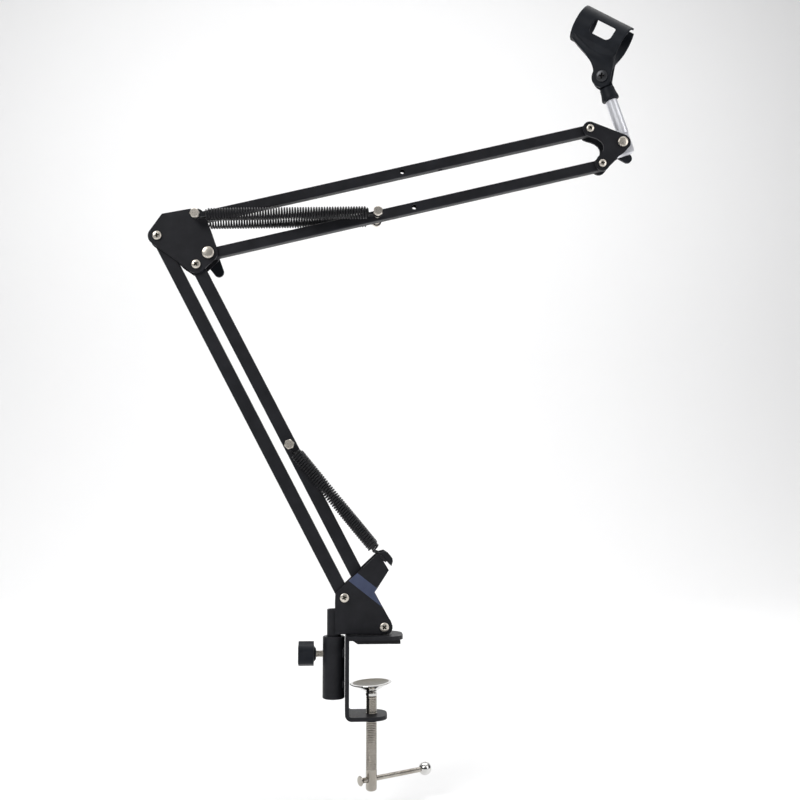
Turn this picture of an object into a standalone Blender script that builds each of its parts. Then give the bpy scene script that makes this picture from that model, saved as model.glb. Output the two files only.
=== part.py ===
"""Desk-clamp boom arm with a microphone clip.

Two parallelogram arms of square tube, joined by an elbow and a head made of plate pairs, stand on a
C-clamp.  All sizes below are in millimetres.  X runs to the right, Z up, and the arms lie in the plane
Y = 0.  The origin is where the clamp screw's axis meets the underside of the upper jaw's pad.
"""
import math

import bmesh
import bpy
from mathutils import Matrix, Vector

MM = 0.001
WELD = 0.00001
GAP = 0.3
ROUND = 24
SMALL_ROUND = 16
FULL_TURN = 2 * math.pi

# Lower arm: both bars stand at this angle and share this length between pivots.
LOWER_LENGTH, LOWER_ANGLE = 373.1, 117.78
LOWER_SIZE, LOWER_WALL = 12.0, 1.2
BASE_LEFT = (-24.9, 40.35)
BASE_RIGHT = (11.2, 13.95)
# Upper arm.
UPPER_LENGTH, UPPER_ANGLE = 381.7, 13.94
UPPER_SIZE, UPPER_WALL = 10.0, 1.0
UPPER_SPREAD, UPPER_SPREAD_ANGLE = 35.8, 108.5
ELBOW_CLAMP = (-151.87, 355.03)
BAR_OVERHANG = 4.0
BAR_CORNER = 1.1

# Plate pairs: distance of the inner face from the middle plane, and the sheet.
PLATE_INNER, PLATE_SHEET = 6.6, 2.0
HEAD_INNER = 5.9
HORN_STEP = 5.3
HORN_FOLD_LOW, HORN_FOLD_HIGH = (-10.05, 46.7), (-2.9, 54.6)
HORN_DIRECTION = 52.0
HOOK_NOTCH = (12.0, 72.8)

# Fasteners.
M4, M5, M6, M10 = 2.0, 2.5, 3.0, 5.0
PIVOT_HEAD, HEAD_PIVOT_HEAD = 4.1, 3.6
KNOB_RISE, KNOB_SHEET, KNOB_HUB = 2.6, 5.0, 9.5
HEX_8 = 8.0 / math.sqrt(3)
HEX_7 = 7.0 / math.sqrt(3)
SPRING_RADIUS, SPRING_BORE = 6.0, 4.7
LOWER_SPRING_Y, UPPER_SPRING_Y = 13.0, 15.0
LOWER_BOLT_REACH, UPPER_BOLT_REACH = 21.0, 22.5
LOWER_SPRING_DISTANCE = 185.6
UPPER_SPRING_DISTANCE = 160.9
UPPER_HOLE_DISTANCE = 196.75
UNDER_HOLE_DISTANCE, SIDE_HOLE = 233.0, 2.35

# Post, sleeve and thumb screw.
POST_X, POST_RADIUS, POST_BORE = -34.3, 6.25, 4.75
POST_BOTTOM, POST_TOP = -46.0, 29.4
SLEEVE_RADIUS, SLEEVE_BORE = 10.0, 6.55
SLEEVE_BOTTOM, SLEEVE_TOP = -49.7, 5.3
THUMB_Z = -10.4

# C-clamp.
LEG_LEFT, LEG_RIGHT = -24.0, -20.4
JAW_TOP, JAW_UNDER = 7.0, 3.4
LOWER_JAW_TOP, LOWER_JAW_UNDER = -63.5, -67.1
FOOT_CENTRE = (-0.75, -36.0)
FOOT_TILT = -3.6
SCREW_BOTTOM, SCREW_NECK = -131.4, 3.8
TOMMY_Z, TOMMY_RADIUS, TOMMY_YAW = -121.3, 2.3, 31.3
TOMMY_BALL_DISTANCE, TOMMY_BALL_RADIUS = 59.6, 6.0

# Microphone holder.
ROD_PIVOT = (238.6, 468.3)
ROD_ANGLE, ROD_RADIUS = 108.5, 5.65
ROD_OFFSET, ROD_LENGTH = 5.95, 43.9
CLIP_DISTANCE = 67.6
CLIP_ANGLE = -32.6
CLIP_YAW = -24.4
CLIP_LEFT, CLIP_RIGHT = -48.4, 2.2
CLIP_AXIS_Z, CLIP_RADIUS, CLIP_BORE = 34.9, 17.6, 15.7
SLIT_START, SLIT_END = 62, 92
WINDOW_LEFT, WINDOW_RIGHT = -33.0, -10.5


def polar(start, length, angle):
    return (start[0] + length * math.cos(math.radians(angle)),
            start[1] + length * math.sin(math.radians(angle)))


def arc(centre, radius, start, end, steps=6):
    """Points on an arc, from one angle to the other in degrees."""
    return [polar(centre, radius, start + (end - start) * i / steps) for i in range(steps + 1)]


def circle(centre, radius, steps=ROUND):
    return arc(centre, radius, 0, 360, steps)[:-1]


ELBOW_LEFT = polar(BASE_LEFT, LOWER_LENGTH, LOWER_ANGLE)
ELBOW_RIGHT = polar(BASE_RIGHT, LOWER_LENGTH, LOWER_ANGLE)
ELBOW_HEX = polar(ELBOW_CLAMP, UPPER_SPREAD, UPPER_SPREAD_ANGLE)
HEAD_LOWER = polar(ELBOW_CLAMP, UPPER_LENGTH, UPPER_ANGLE)
HEAD_UPPER = polar(ELBOW_HEX, UPPER_LENGTH, UPPER_ANGLE)
LOWER_SPRING_BOLT = polar(BASE_RIGHT, LOWER_SPRING_DISTANCE, LOWER_ANGLE)
UPPER_SPRING_BOLT = polar(ELBOW_CLAMP, UPPER_SPRING_DISTANCE, UPPER_ANGLE)
CLIP_PIVOT = polar(polar(ROD_PIVOT, ROD_OFFSET, ROD_ANGLE - 90), CLIP_DISTANCE, ROD_ANGLE)

for old in list(bpy.data.objects):
    bpy.data.objects.remove(old, do_unlink=True)
PARTS = bpy.data.collections.new("boom_arm")
CUTTERS = bpy.data.collections.new("cutters")
for group in (PARTS, CUTTERS):
    bpy.context.scene.collection.children.link(group)

FACE_FRONT = Matrix.Rotation(math.pi / 2, 4, "X")          # local Z to -Y, local Y to Z
ALONG_X = Matrix.Rotation(math.pi / 2, 4, "Z") @ FACE_FRONT  # outline in Y and Z, depth to X
UPRIGHT = Matrix.Identity(4)


def shift(x, y, z):
    return Matrix.Translation(Vector((x, y, z)) * MM)


def outline_mesh(loops, low, high, turn=UPRIGHT):
    """A flat outline with holes, given depth from low to high along the outline's own normal."""
    curve = bpy.data.curves.new("outline", "CURVE")
    curve.dimensions, curve.fill_mode = "2D", "BOTH"
    curve.extrude = (high - low) / 2 * MM
    for loop in loops:
        spline = curve.splines.new("POLY")
        spline.points.add(len(loop) - 1)
        for point, (x, y) in zip(spline.points, loop):
            point.co = (x * MM, y * MM, 0.0, 1.0)
        spline.use_cyclic_u = True
    holder = bpy.data.objects.new("outline", curve)
    CUTTERS.objects.link(holder)
    graph = bpy.context.evaluated_depsgraph_get()
    mesh = bpy.data.meshes.new_from_object(holder.evaluated_get(graph))
    bpy.data.objects.remove(holder, do_unlink=True)
    bpy.data.curves.remove(curve)
    mesh.transform(turn @ shift(0, 0, (low + high) / 2))
    return clean(mesh)


def turned_mesh(profile, turn=UPRIGHT, segments=ROUND, ring=False):
    """A profile of (radius, height) points turned about local Z; a ring profile closes on itself."""
    mesh = bpy.data.meshes.new("turned")
    count = len(profile)
    edges = [(i, i + 1) for i in range(count - 1)] + ([(count - 1, 0)] if ring else [])
    mesh.from_pydata([(r * MM, 0.0, z * MM) for r, z in profile], edges, [])
    holder = bpy.data.objects.new("turned", mesh)
    CUTTERS.objects.link(holder)
    screw = holder.modifiers.new("turn", "SCREW")
    screw.steps = screw.render_steps = segments
    screw.use_merge_vertices, screw.merge_threshold = True, WELD
    graph = bpy.context.evaluated_depsgraph_get()
    result = bpy.data.meshes.new_from_object(holder.evaluated_get(graph))
    bpy.data.objects.remove(holder, do_unlink=True)
    bpy.data.meshes.remove(mesh)
    result.transform(turn)
    return clean(result)


def clean(mesh):
    """Weld the seams and turn every face outwards."""
    shape = bmesh.new()
    shape.from_mesh(mesh)
    bmesh.ops.remove_doubles(shape, verts=shape.verts, dist=WELD)
    bmesh.ops.dissolve_degenerate(shape, edges=shape.edges, dist=WELD)
    bmesh.ops.recalc_face_normals(shape, faces=shape.faces)
    shape.to_mesh(mesh)
    shape.free()
    return mesh


def rod_mesh(radius, low, high, turn=UPRIGHT, segments=ROUND):
    return turned_mesh([(0, high), (radius, high), (radius, low), (0, low)], turn, segments)


def box_mesh(low, high):
    shape = bmesh.new()
    bmesh.ops.create_cube(shape, size=1.0)
    mesh = bpy.data.meshes.new("box")
    shape.to_mesh(mesh)
    shape.free()
    middle = [(a + b) / 2 for a, b in zip(low, high)]
    size = Matrix.Diagonal([*((b - a) * MM for a, b in zip(low, high)), 1.0])
    mesh.transform(shift(*middle) @ size)
    return mesh


def material(name, colour, roughness, metallic):
    made = bpy.data.materials.new(name)
    made.use_nodes = True
    shader = made.node_tree.nodes["Principled BSDF"]
    shader.inputs["Base Color"].default_value = (*colour, 1.0)
    shader.inputs["Roughness"].default_value = roughness
    shader.inputs["Metallic"].default_value = metallic
    made.diffuse_color = (*colour, 1.0)
    return made


BLACK_PAINT = ((0.022, 0.022, 0.026), 0.45, 0.2)
BLACK_PLASTIC = ((0.020, 0.021, 0.024), 0.55, 0.0)
NICKEL = ((0.66, 0.62, 0.55), 0.25, 1.0)
CHROME = ((0.75, 0.74, 0.72), 0.12, 1.0)
ALUMINIUM = ((0.78, 0.78, 0.79), 0.3, 1.0)
RUBBER = ((0.018, 0.018, 0.018), 0.8, 0.0)
SPRING_BLACK = ((0.015, 0.015, 0.017), 0.35, 0.6)


def piece(name, mesh, pivot, look, turn=UPRIGHT, smooth=False):
    """Place one named piece with its origin at the pivot of the body it belongs to."""
    mesh.name = name
    made = bpy.data.objects.new(name, mesh)
    PARTS.objects.link(made)
    made.location = Vector((pivot[0], 0.0, pivot[1])) * MM if len(pivot) == 2 else Vector(pivot) * MM
    made.rotation_euler = turn.to_euler()
    mesh.materials.append(material(name, *look))
    if smooth:
        mesh.polygons.foreach_set("use_smooth", [True] * len(mesh.polygons))
        mesh.set_sharp_from_angle(angle=math.radians(35))
    return made


def combine(target, mesh, operation):
    """Add a shape to a piece or take it away; the mesh is in the piece's own frame."""
    tool = bpy.data.objects.new(target.name + "_" + operation.lower(), mesh)
    CUTTERS.objects.link(tool)
    tool.parent = target
    tool.hide_render, tool.display_type = True, "WIRE"
    step = target.modifiers.new(operation.lower(), "BOOLEAN")
    step.operation, step.solver, step.object = operation, "EXACT", tool


def cut(target, mesh):
    combine(target, mesh, "DIFFERENCE")


def join(target, mesh):
    combine(target, mesh, "UNION")


def relative(points, pivot):
    return [(x - pivot[0], z - pivot[1]) for x, z in points]


# ---------------------------------------------------------------- fasteners
def bolt(name, at, head, shank, front, rear, height, sides=ROUND, look=NICKEL):
    """A screw along Y: its head's underside is at -front, its tip at +rear."""
    top = front + height
    made = piece(name, turned_mesh([(0, top), (head * 0.75, top), (head, top - height * 0.45),
                                    (head, front), (shank, front), (shank, -rear), (0, -rear)],
                                   FACE_FRONT, sides), at, look, smooth=True)
    return made


def hex_bolt(name, at, reach, shank, height, look=NICKEL):
    """A hexagon bolt along Y, from the front face of its head to its rear tip."""
    head = outline_mesh([circle((0, 0), HEX_8, 6)], reach - height, reach, FACE_FRONT)
    made = piece(name, head, at, look)
    join(made, rod_mesh(shank, -reach - 1.2, reach - height / 2, FACE_FRONT, SMALL_ROUND))
    return made


def nut(name, at, corner, bore, near, far, look=NICKEL):
    """A hexagon nut on the rear side, between two distances from the middle plane."""
    loops = [circle((0, 0), corner, 6), circle((0, 0), bore, SMALL_ROUND)]
    return piece(name, outline_mesh(loops, -far, -near, FACE_FRONT), at, look)


def washer(name, at, radius, bore, near, far):
    ring = [circle((0, 0), radius), circle((0, 0), bore)]
    return piece(name, outline_mesh(ring, -far, -near, FACE_FRONT), at, NICKEL, smooth=True)


def wing_nut(name, at, direction, near, reach, tip, bore):
    """A two-lobed knob on the rear side, broad as seen along the bolt; the bore runs right through."""
    right, left = (reach - tip, 0), (tip - reach, 0)
    lobes = [*arc(right, tip, -80, 80, 8), (3.0, 6.8), (-3.0, 6.8), *arc(left, tip, 100, 260, 8), (-3.0, -6.8),
             (3.0, -6.8)]
    low = near + KNOB_RISE
    turn = Matrix.Rotation(math.radians(-direction), 4, "Y") @ FACE_FRONT
    made = piece(name, outline_mesh([lobes], -low - KNOB_SHEET, -low, turn), at, BLACK_PLASTIC)
    join(made, rod_mesh(5.6, -near - KNOB_HUB, -near, FACE_FRONT))
    cut(made, rod_mesh(bore, -near - KNOB_HUB - 1, 1 - near, FACE_FRONT, SMALL_ROUND))
    return made


def plate(name, loops, pivot, low, high):
    """A flat steel plate in the arm plane, between two Y values."""
    holes = [relative(loop, pivot) for loop in loops]
    return piece(name, outline_mesh(holes, -high, -low, FACE_FRONT), pivot, BLACK_PAINT)


def square_tube(name, start, length, angle, size, wall, holes):
    """A square tube from pivot to pivot, drilled across at the given (distance, radius)."""
    half, inner = size / 2, size / 2 - wall
    corners = [(half, half), (-half, half), (-half, -half), (half, -half)]
    outer = []
    for number, (x, y) in enumerate(corners):
        centre = (math.copysign(half - BAR_CORNER, x), math.copysign(half - BAR_CORNER, y))
        outer += arc(centre, BAR_CORNER, 90 * number, 90 * number + 90, 3)
    bore = [(math.copysign(inner, x), math.copysign(inner, y)) for x, y in corners]
    body = outline_mesh([outer, bore], -BAR_OVERHANG, length + BAR_OVERHANG, ALONG_X)
    made = piece(name, body, start, BLACK_PAINT, Matrix.Rotation(math.radians(-angle), 4, "Y"))
    for distance, radius in holes:
        cut(made, rod_mesh(radius, -size, size, shift(distance, 0, 0) @ FACE_FRONT, SMALL_ROUND))
    return made


# ---------------------------------------------------------------- clamp
def jaw_outline(left, right, half_width, corner):
    return [(left, -half_width), *arc((right - corner, corner - half_width), corner, -90, 0),
            *arc((right - corner, half_width - corner), corner, 0, 90), (left, half_width)]


LEG_OUTLINE = [*arc((LEG_LEFT + 6, LOWER_JAW_UNDER + 6), 6, 270, 180), *arc((-22, 5), 2, 180, 90, 3),
               (-18, JAW_TOP), (-18, JAW_UNDER), (LEG_RIGHT, JAW_UNDER),
               *arc((LEG_RIGHT + 2.4, LOWER_JAW_TOP + 2.4), 2.4, 180, 270, 3)]
frame = piece("clamp_frame", outline_mesh([LEG_OUTLINE], -18, 18, FACE_FRONT), (0, 0), BLACK_PAINT)
join(frame, outline_mesh([jaw_outline(-21, 28.0, 20, 14)], JAW_UNDER, JAW_TOP))
join(frame, outline_mesh([jaw_outline(-19, 14, 18, 14), circle((0, 0), M10 + GAP)],
                         LOWER_JAW_UNDER, LOWER_JAW_TOP))
PAD_PROFILE = [(-17.6, JAW_UNDER - GAP), (-12.9, 0), (25.3, 0), (25.3, JAW_UNDER - GAP)]
piece("jaw_pad", outline_mesh([PAD_PROFILE], -16, 16, FACE_FRONT), (0, 0), RUBBER)

sleeve_ring = [(SLEEVE_RADIUS, SLEEVE_TOP), (SLEEVE_RADIUS, SLEEVE_BOTTOM),
               (SLEEVE_BORE, SLEEVE_BOTTOM), (SLEEVE_BORE, SLEEVE_TOP)]
sleeve = piece("pivot_sleeve", turned_mesh(sleeve_ring, ring=True), (POST_X, 0), BLACK_PAINT, smooth=True)
cut(sleeve, rod_mesh(M6 + GAP, -14, -4, shift(0, 0, THUMB_Z) @ ALONG_X, SMALL_ROUND))
for name, low, high in (("weld_bead_upper", -12, -6), ("weld_bead_lower", -39, -34)):
    piece(name, rod_mesh(1.2, low, high, segments=10), (-25.5, -7.5, 0), BLACK_PAINT, smooth=True)

# Foot: a dished disc that rocks on the screw's tip, with a collar under it.
disc_profile = [(0, -1.6), (7, -1.6), (16.2, 0), (18.6, 0), (19, -0.5), (18.4, -1.4), (8.0, -6.4),
                (5.9, -7.5), (5.7, -8.3), (4.4, -8.3), (4.4, -4.5), (0, -4.5)]
piece("pressure_disc", turned_mesh(disc_profile), (FOOT_CENTRE[0], 0, FOOT_CENTRE[1]), CHROME,
      Matrix.Rotation(math.radians(FOOT_TILT), 4, "Y"), smooth=True)
collar = [(5.1, -45.2), (5.4, -45.5), (5.4, -48.0), (SCREW_NECK + GAP, -48.0), (SCREW_NECK + GAP, -45.2)]
piece("foot_collar", turned_mesh(collar, ring=True), (0, 0), CHROME, smooth=True)
screw_profile = [(0, -41.1), (3.4, -41.4), (SCREW_NECK, -42.0), (SCREW_NECK, -48.3), (M10, -48.6),
                 (M10, SCREW_BOTTOM + 2), (3.2, SCREW_BOTTOM), (0, SCREW_BOTTOM)]
clamp_screw = piece("clamp_screw", turned_mesh(screw_profile), (0, 0), NICKEL, smooth=True)
yaw = Matrix.Rotation(math.radians(TOMMY_YAW), 4, "Z")
cut(clamp_screw, rod_mesh(TOMMY_RADIUS + GAP, -8, 8, shift(0, 0, TOMMY_Z) @ yaw @ ALONG_X, SMALL_ROUND))
ball_face = TOMMY_BALL_DISTANCE - TOMMY_BALL_RADIUS - GAP
bar_profile = [(0, ball_face), (TOMMY_RADIUS, ball_face), (TOMMY_RADIUS, -8.4), (2.9, -9.6),
               (4.5, -11.2), (4.5, -11.8), (3.6, -12.4), (0, -12.4)]
piece("tommy_bar", turned_mesh(bar_profile, ALONG_X, SMALL_ROUND), (0, TOMMY_Z), NICKEL, yaw, smooth=True)
ball = bpy.data.meshes.new("ball")
shape = bmesh.new()
bmesh.ops.create_uvsphere(shape, u_segments=ROUND, v_segments=12, radius=TOMMY_BALL_RADIUS * MM)
shape.to_mesh(ball)
shape.free()
ball.transform(shift(TOMMY_BALL_DISTANCE, 0, 0))
piece("tommy_ball", ball, (0, TOMMY_Z), CHROME, yaw, smooth=True)

# Thumb screw that locks the post.
THUMB_AT = (POST_X, THUMB_Z)
piece("thumb_shank", rod_mesh(M6, -24.0, -SLEEVE_BORE - 0.05, ALONG_X, SMALL_ROUND), THUMB_AT, NICKEL,
      smooth=True)
star = []
for lobe in range(5):
    star += arc(polar((0, 0), 6.8, 72 * lobe), 4.6, 72 * lobe - 66, 72 * lobe + 66, 6)
knob = piece("thumb_knob", outline_mesh([star], -32.1, -17.8, ALONG_X), THUMB_AT, BLACK_PLASTIC)
join(knob, turned_mesh([(0, -15.7), (5.2, -15.7), (8.2, -18.4), (0, -18.4)], ALONG_X, SMALL_ROUND))
cut(knob, rod_mesh(M6 + GAP, -24.5, -14, ALONG_X, SMALL_ROUND))

# ---------------------------------------------------------------- swivelling base
post_ring = [(POST_RADIUS, POST_TOP), (POST_RADIUS, POST_BOTTOM), (POST_BORE, POST_BOTTOM),
             (POST_BORE, POST_TOP)]
piece("post_tube", turned_mesh(post_ring, ring=True), (POST_X, 0), BLACK_PAINT, smooth=True)
BASE_OUTLINE = [(-33.4, 7.8), (-33.4, 38.4), *arc(BASE_LEFT, 8.5, 190, 135, 3), (3.2, 78.2), (6.5, 80.8),
                (11.0, 82.0), (15.0, 79.5), (18.2, 75.8), (18.6, 73.0), (17.3, 68.7), (15.2, 70.6),
                (13.4, 72.6), (11.8, 73.9), (10.2, 72.9), (15.0, 65.1), (2.0, 45.0),
                *arc(BASE_RIGHT, 7.5, 45, -45, 5), (13.4, 7.8)]


def bend_horn(mesh, side):
    """Fold the horn outwards along its two bend lines."""
    along = Vector((math.cos(math.radians(HORN_DIRECTION)), 0, math.sin(math.radians(HORN_DIRECTION))))
    first = Vector((HORN_FOLD_LOW[0] - POST_X, 0, HORN_FOLD_LOW[1])) * MM
    last = Vector((HORN_FOLD_HIGH[0] - POST_X, 0, HORN_FOLD_HIGH[1])) * MM
    start, end = first.dot(along), last.dot(along)
    work = bmesh.new()
    work.from_mesh(mesh)
    for point in (first, last):
        everything = [*work.verts, *work.edges, *work.faces]
        bmesh.ops.bisect_plane(work, geom=everything, dist=WELD * 0.1, plane_co=point, plane_no=along)
    for corner in work.verts:
        share = (corner.co.dot(along) - start) / (end - start)
        corner.co.y += side * HORN_STEP * MM * min(max(share, 0.0), 1.0)
    bmesh.ops.recalc_face_normals(work, faces=work.faces)
    work.to_mesh(mesh)
    work.free()


base_loops = [BASE_OUTLINE, circle(BASE_LEFT, M4 + GAP, SMALL_ROUND), circle(BASE_RIGHT, M4 + GAP, SMALL_ROUND)]
OUTER = PLATE_INNER + PLATE_SHEET
for name, side in (("base_plate_front", -1), ("base_plate_rear", 1)):
    low, high = sorted((side * PLATE_INNER, side * OUTER))
    made = plate(name, base_loops, (POST_X, 0), low, high)
    bend_horn(made.data, side)

SCREW_HEIGHT, NUT_FAR = 2.4, OUTER + GAP + 3.2


def pivot_screw(place, at, outer, head=PIVOT_HEAD):
    near = outer + GAP
    bolt(place.replace("*", "screw"), at, head, M4, near, near + 3.8, SCREW_HEIGHT, SMALL_ROUND)
    nut(place.replace("*", "nut"), at, HEX_7, M4 + GAP, near, near + 3.2)


pivot_screw("base_*_left", BASE_LEFT, OUTER)
pivot_screw("base_*_right", BASE_RIGHT, OUTER)

# ---------------------------------------------------------------- lower arm
ends = [(0, M4 + GAP), (LOWER_LENGTH, M4 + GAP)]
square_tube("lower_bar_left", BASE_LEFT, LOWER_LENGTH, LOWER_ANGLE, LOWER_SIZE, LOWER_WALL, ends)
square_tube("lower_bar_right", BASE_RIGHT, LOWER_LENGTH, LOWER_ANGLE, LOWER_SIZE, LOWER_WALL,
            [*ends, (LOWER_SPRING_DISTANCE, M5 + GAP)])


def spring_pair(name, start, end, y, from_start, from_end):
    """Each spring's body as a tube that stops short of its two hooks."""
    length = math.dist(start, end)
    angle = math.atan2(end[1] - start[1], end[0] - start[0])
    wall = [(SPRING_RADIUS, length - from_end), (SPRING_RADIUS, from_start), (SPRING_BORE, from_start),
            (SPRING_BORE, length - from_end)]
    for place, side in (("front", -1), ("rear", 1)):
        piece(name + place, turned_mesh(wall, ALONG_X, SMALL_ROUND, ring=True),
              (start[0], side * y, start[1]), SPRING_BLACK, Matrix.Rotation(-angle, 4, "Y"), smooth=True)


def spring_bolt(place, at, reach):
    hex_bolt(place + "_bolt", at, reach, M5, 3.4)
    nut(place + "_nut", at, HEX_8, M5 + GAP, reach - 3.6, reach - 0.2)


spring_bolt("lower_spring", LOWER_SPRING_BOLT, LOWER_BOLT_REACH)
spring_pair("lower_spring_", LOWER_SPRING_BOLT, HOOK_NOTCH, LOWER_SPRING_Y, 9.0, 15.0)

# ---------------------------------------------------------------- elbow
ELBOW_OUTLINE = [*arc(ELBOW_LEFT, 8.5, 235, 135, 6), (-194.9, 391.1), (-170.5, 396.0),
                 *arc(ELBOW_HEX, 7.6, 100, 10, 4), (-151.0, 378.0), (-145.2, 361.3),
                 *arc(ELBOW_CLAMP, 8.5, 20, -50, 4), *arc(ELBOW_RIGHT, 8.3, -35, -125, 5), (-175.9, 342.9),
                 (-179.5, 346.5)]
elbow_loops = [ELBOW_OUTLINE, circle(ELBOW_LEFT, M4 + GAP, SMALL_ROUND),
               circle(ELBOW_RIGHT, M4 + GAP, SMALL_ROUND), circle(ELBOW_HEX, M5 + GAP, SMALL_ROUND),
               circle(ELBOW_CLAMP, M6 + GAP, SMALL_ROUND)]
plate("elbow_plate_front", elbow_loops, ELBOW_LEFT, -OUTER, -PLATE_INNER)
plate("elbow_plate_rear", elbow_loops, ELBOW_LEFT, PLATE_INNER, OUTER)
pivot_screw("elbow_*_left", ELBOW_LEFT, OUTER)
pivot_screw("elbow_*_right", ELBOW_RIGHT, OUTER)
spring_bolt("elbow_hex", ELBOW_HEX, UPPER_BOLT_REACH)
bolt("elbow_clamp_bolt", ELBOW_CLAMP, 5.5, M6, OUTER + GAP, 24.0, 3.6)
washer("elbow_washer", ELBOW_CLAMP, 7.0, M6 + GAP, OUTER + GAP, OUTER + GAP + 1.5)
wing_nut("elbow_wing_nut", ELBOW_CLAMP, -61.0, OUTER + 2.1, 19.8, 4.8, M6 + GAP)

# ---------------------------------------------------------------- upper arm
ends = [(UPPER_LENGTH, M4 + GAP), (UPPER_HOLE_DISTANCE, SIDE_HOLE)]
square_tube("upper_bar_lower", ELBOW_CLAMP, UPPER_LENGTH, UPPER_ANGLE, UPPER_SIZE, UPPER_WALL,
            [(0, M6 + GAP), *ends, (UPPER_SPRING_DISTANCE, M5 + GAP)])
upper = square_tube("upper_bar_upper", ELBOW_HEX, UPPER_LENGTH, UPPER_ANGLE, UPPER_SIZE, UPPER_WALL,
                    [(0, M5 + GAP), *ends])
cut(upper, rod_mesh(SIDE_HOLE, -UPPER_SIZE, -3, shift(UNDER_HOLE_DISTANCE, 0, 0), SMALL_ROUND))
spring_bolt("upper_spring", UPPER_SPRING_BOLT, UPPER_BOLT_REACH)
spring_pair("upper_spring_", ELBOW_HEX, UPPER_SPRING_BOLT, UPPER_SPRING_Y, 9.0, 9.0)

# ---------------------------------------------------------------- head
HEAD_OUTLINE = [(214.6, 453.8), (217.8, 456.9), (219.6, 459.4), (220.2, 462.0), (219.9, 465.2), (218.2, 468.0),
                (215.2, 470.4), (211.5, 472.0), (207.5, 473.0), (203.5, 474.6),
                *arc(HEAD_UPPER, 7.0, 205, 75, 6), *arc(ROD_PIVOT, 7.9, 75, -25, 6), (240.7, 459.1),
                (235.4, 455.2), (226.9, 446.9), *arc(HEAD_LOWER, 7.0, -35, -205, 8)]
head_loops = [HEAD_OUTLINE, circle(HEAD_LOWER, M4 + GAP, SMALL_ROUND),
              circle(HEAD_UPPER, M4 + GAP, SMALL_ROUND), circle(ROD_PIVOT, M5 + GAP, SMALL_ROUND)]
HEAD_OUTER = HEAD_INNER + PLATE_SHEET
plate("head_plate_front", head_loops, HEAD_LOWER, -HEAD_OUTER, -HEAD_INNER)
plate("head_plate_rear", head_loops, HEAD_LOWER, HEAD_INNER, HEAD_OUTER)
pivot_screw("head_*_lower", HEAD_LOWER, HEAD_OUTER, HEAD_PIVOT_HEAD)
pivot_screw("head_*_upper", HEAD_UPPER, HEAD_OUTER, HEAD_PIVOT_HEAD)
bolt("head_clamp_bolt", ROD_PIVOT, 4.75, M5, HEAD_OUTER + GAP, 23.0, 2.8)
washer("head_washer", ROD_PIVOT, 6.2, M5 + GAP, HEAD_OUTER + GAP, HEAD_OUTER + GAP + 1.2)
wing_nut("head_wing_nut", ROD_PIVOT, -40.0, HEAD_OUTER + 1.8, 18.2, 4.6, M5 + GAP)

# ---------------------------------------------------------------- microphone holder
lean = Matrix.Rotation(math.radians(90 - ROD_ANGLE), 4, "Y")
to_axis = shift(ROD_OFFSET, 0, 0)
rod = piece("mic_rod", rod_mesh(ROD_RADIUS, 8, ROD_LENGTH, to_axis), ROD_PIVOT, ALUMINIUM, lean, smooth=True)
join(rod, box_mesh((-6.5, -4.6, -10.7), (9.5, 4.6, 13)))
join(rod, rod_mesh(4.2, ROD_LENGTH - 1, CLIP_DISTANCE - 14, to_axis, SMALL_ROUND))
cut(rod, rod_mesh(M5 + GAP, -10, 10, FACE_FRONT, SMALL_ROUND))

spin = Matrix.Rotation(math.radians(CLIP_YAW), 4, lean.to_3x3() @ Vector((0, 0, 1)))
adaptor_profile = [(0, -10.8), (6.8, -10.8), (7.0, -13), (8.3, -20.0), (8.3, -23.1), (4.5, -23.1),
                   (4.5, -13.5), (0, -13.5)]
adaptor = piece("clip_adaptor", turned_mesh(adaptor_profile),
                CLIP_PIVOT, BLACK_PLASTIC, spin @ lean, smooth=True)
tongue = [(-6.3, -12), *arc((0, 0), 6.8, 195, -15, 10), (6.3, -12)]
join(adaptor, outline_mesh([tongue], -3, 3, FACE_FRONT))
cut(adaptor, rod_mesh(M5 + GAP, -9, 9, FACE_FRONT, SMALL_ROUND))

bolt_turn = spin @ Matrix.Rotation(math.radians(-CLIP_ANGLE), 4, "Y")
screw = bolt("clip_screw", CLIP_PIVOT, 5.4, M5, 7.8, 11.6, 2.4, look=BLACK_PAINT)
clip_nut = nut("clip_nut", CLIP_PIVOT, 4.62, M5 + GAP, 7.8, 11.0, look=BLACK_PAINT)
for fastener in (screw, clip_nut):
    fastener.rotation_euler = bolt_turn.to_euler()

NECK = [(-47.6, 27), (-47.4, 22), (-43.0, 17.2), (-34, 14.2), (-24, 10.6), (-15.5, 6.6), (-10.9, 2.2),
        *arc((0, 0), 10.2, 180, 340, 9), (8.6, 3.5), (4.6, 11.0), (1.8, 18.5), (1.8, 27)]
clip = piece("mic_clip", outline_mesh([NECK], -7.5, 7.5, FACE_FRONT), CLIP_PIVOT, BLACK_PLASTIC, bolt_turn,
             smooth=True)
cut(clip, box_mesh((-14, -3.3, -15), (14, 3.3, 12)))
cut(clip, rod_mesh(M5 + GAP, -12, 12, FACE_FRONT, SMALL_ROUND))
# The neck stops inside the tube's wall, and the tube is slit along the top of its far side.
middle_wall = (CLIP_RADIUS + CLIP_BORE) / 2
cut(clip, rod_mesh(middle_wall, CLIP_LEFT - 2, CLIP_RIGHT + 2, shift(0, 0, CLIP_AXIS_Z) @ ALONG_X, 32))
tube_centre = (0, CLIP_AXIS_Z)
tube_loop = [*arc(tube_centre, CLIP_RADIUS, SLIT_END, SLIT_START + 360, 30),
             *arc(tube_centre, CLIP_BORE, SLIT_START + 360, SLIT_END, 30)]
join(clip, outline_mesh([tube_loop], CLIP_LEFT, CLIP_RIGHT, ALONG_X))
# A window in each side wall.
cut(clip, box_mesh((WINDOW_LEFT, -22, 26.5), (WINDOW_RIGHT, -8, 40.5)))
cut(clip, box_mesh((WINDOW_LEFT - 4, 8, 34.0), (WINDOW_RIGHT + 4, 22, 48.0)))

bpy.context.view_layer.update()
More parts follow.
